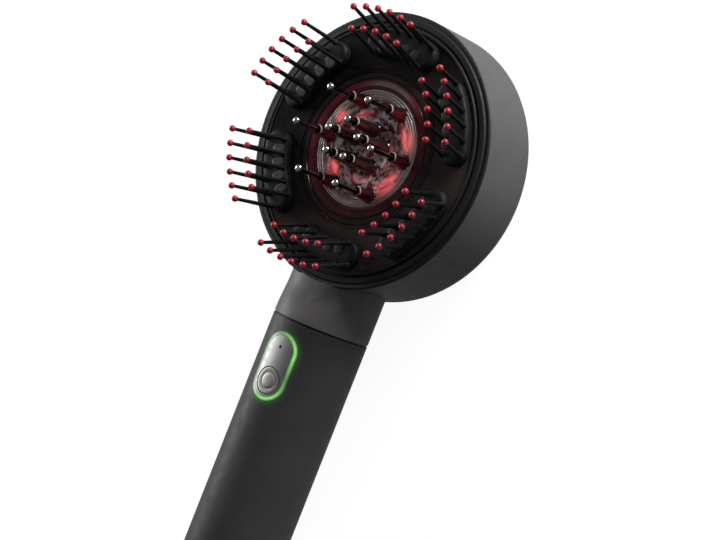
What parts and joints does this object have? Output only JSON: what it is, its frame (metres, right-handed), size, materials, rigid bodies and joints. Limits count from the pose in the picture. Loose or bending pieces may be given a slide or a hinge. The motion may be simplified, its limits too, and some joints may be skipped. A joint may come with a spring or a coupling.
{
  "type": "electric scalp massager",
  "caption": "Handheld scalp massager: round head with ball-tipped bristle pads, a lift-out clear applicator with sprung steel ball pins, tubular handle with power button.",
  "frame": {"origin": "centre of the round head's flat back", "axes": "+Z out of the head's face, +Y from the handle towards the head's far side, handle along -Y; the massager lies on its back"},
  "size_m": [0.0856, 0.2298, 0.0452],
  "materials": {
    "shell": "fine matte, dark grey",
    "bezel": "black, half gloss",
    "smoked": "smoked translucent",
    "pad": "soft black",
    "bristle_tip": "red, glossy",
    "clear": "clear",
    "steel_pin": "polished",
    "seal": "matte black",
    "plug": "soft red",
    "board": "green board",
    "led": "red light",
    "steel": "plain",
    "brass": "plain",
    "handle": "soft matte black",
    "inner_plastic": "matte black",
    "cell_wrap": "shrink wrap",
    "panel": "silver grey",
    "light_ring": "lit green",
    "lens": "small dark lens",
    "ribbon": "amber film",
    "end_cap": "black, half gloss"
  },
  "bodies": {
    "housing": {"head_shell": "shell", "neck_shroud": "shell", "bezel_ring": "bezel", "face_plate": "smoked", "pad_1": "pad", "pad_2": "pad", "pad_3": "pad", "pad_4": "pad", "pad_5": "pad", "pad_6": "pad", "tips_1": "bristle_tip", "tips_2": "bristle_tip", "tips_3": "bristle_tip", "tips_4": "bristle_tip", "tips_5": "bristle_tip", "tips_6": "bristle_tip", "tank_cradle": "clear", "light_board": "board", "light_chips": "led", "back_screws": "steel", "motor_sleeve": "seal", "motor_body": "steel", "seam_ring": "bezel", "handle_tube": "handle", "cell_tray": "inner_plastic", "cell_strap": "seal", "cell": "cell_wrap", "cell_contacts": "steel", "control_board": "board", "tact_switch": "inner_plastic", "control_panel": "panel", "light_ring": "light_ring", "indicator_lens": "lens", "ribbon_cable": "ribbon", "end_cap": "end_cap", "cap_seal": "seal", "charge_board": "board", "charge_socket": "steel"},
    "cartridge": {"carrier_ring": "smoked", "clear_disc": "clear", "liquid_tank": "clear", "tank_seal": "seal"},
    "plug": {"filler_plug": "plug"},
    "button": {"power_button": "panel"},
    "rotor": {"motor_shaft": "steel", "motor_weight": "brass"},
    "pin_1_body": {"pin_1": "steel_pin"},
    "pin_2_body": {"pin_2": "steel_pin"},
    "pin_3_body": {"pin_3": "steel_pin"},
    "pin_4_body": {"pin_4": "steel_pin"},
    "pin_5_body": {"pin_5": "steel_pin"},
    "pin_6_body": {"pin_6": "steel_pin"},
    "pin_7_body": {"pin_7": "steel_pin"},
    "pin_8_body": {"pin_8": "steel_pin"},
    "pin_9_body": {"pin_9": "steel_pin"},
    "pin_10_body": {"pin_10": "steel_pin"},
    "pin_11_body": {"pin_11": "steel_pin"}
  },
  "joints": [
    {"name": "cartridge_lift", "type": "slide", "parent": "housing", "child": "cartridge", "axis": [0, 0, 1], "range_m": [0, 0.036]},
    {"name": "plug_pull", "type": "slide", "parent": "cartridge", "child": "plug", "axis": [0, 0, -1], "range_m": [0, 0.0035]},
    {"name": "power_button_press", "type": "slide", "parent": "housing", "child": "button", "axis": [0, 0, -1], "range_m": [0, 0.0005], "stiffness_N_per_m": 900, "springref_m": -0.0005},
    {"name": "motor_spin", "type": "hinge", "parent": "housing", "child": "rotor", "pos_m": [0, -0.0505, 0.0153], "axis": [0, 1, 0], "continuous": true},
    {"name": "pin_1_press", "type": "slide", "parent": "cartridge", "child": "pin_1_body", "axis": [0, 0, -1], "range_m": [0, 0.0012], "stiffness_N_per_m": 250, "springref_m": -0.001},
    {"name": "pin_2_press", "type": "slide", "parent": "cartridge", "child": "pin_2_body", "axis": [0, 0, -1], "range_m": [0, 0.0012], "stiffness_N_per_m": 250, "springref_m": -0.001},
    {"name": "pin_3_press", "type": "slide", "parent": "cartridge", "child": "pin_3_body", "axis": [0, 0, -1], "range_m": [0, 0.0012], "stiffness_N_per_m": 250, "springref_m": -0.001},
    {"name": "pin_4_press", "type": "slide", "parent": "cartridge", "child": "pin_4_body", "axis": [0, 0, -1], "range_m": [0, 0.0012], "stiffness_N_per_m": 250, "springref_m": -0.001},
    {"name": "pin_5_press", "type": "slide", "parent": "cartridge", "child": "pin_5_body", "axis": [0, 0, -1], "range_m": [0, 0.0012], "stiffness_N_per_m": 250, "springref_m": -0.001},
    {"name": "pin_6_press", "type": "slide", "parent": "cartridge", "child": "pin_6_body", "axis": [0, 0, -1], "range_m": [0, 0.0012], "stiffness_N_per_m": 250, "springref_m": -0.001},
    {"name": "pin_7_press", "type": "slide", "parent": "cartridge", "child": "pin_7_body", "axis": [0, 0, -1], "range_m": [0, 0.0012], "stiffness_N_per_m": 250, "springref_m": -0.001},
    {"name": "pin_8_press", "type": "slide", "parent": "cartridge", "child": "pin_8_body", "axis": [0, 0, -1], "range_m": [0, 0.0012], "stiffness_N_per_m": 250, "springref_m": -0.001},
    {"name": "pin_9_press", "type": "slide", "parent": "cartridge", "child": "pin_9_body", "axis": [0, 0, -1], "range_m": [0, 0.0012], "stiffness_N_per_m": 250, "springref_m": -0.001},
    {"name": "pin_10_press", "type": "slide", "parent": "cartridge", "child": "pin_10_body", "axis": [0, 0, -1], "range_m": [0, 0.0012], "stiffness_N_per_m": 250, "springref_m": -0.001},
    {"name": "pin_11_press", "type": "slide", "parent": "cartridge", "child": "pin_11_body", "axis": [0, 0, -1], "range_m": [0, 0.0012], "stiffness_N_per_m": 250, "springref_m": -0.001}
  ]
}
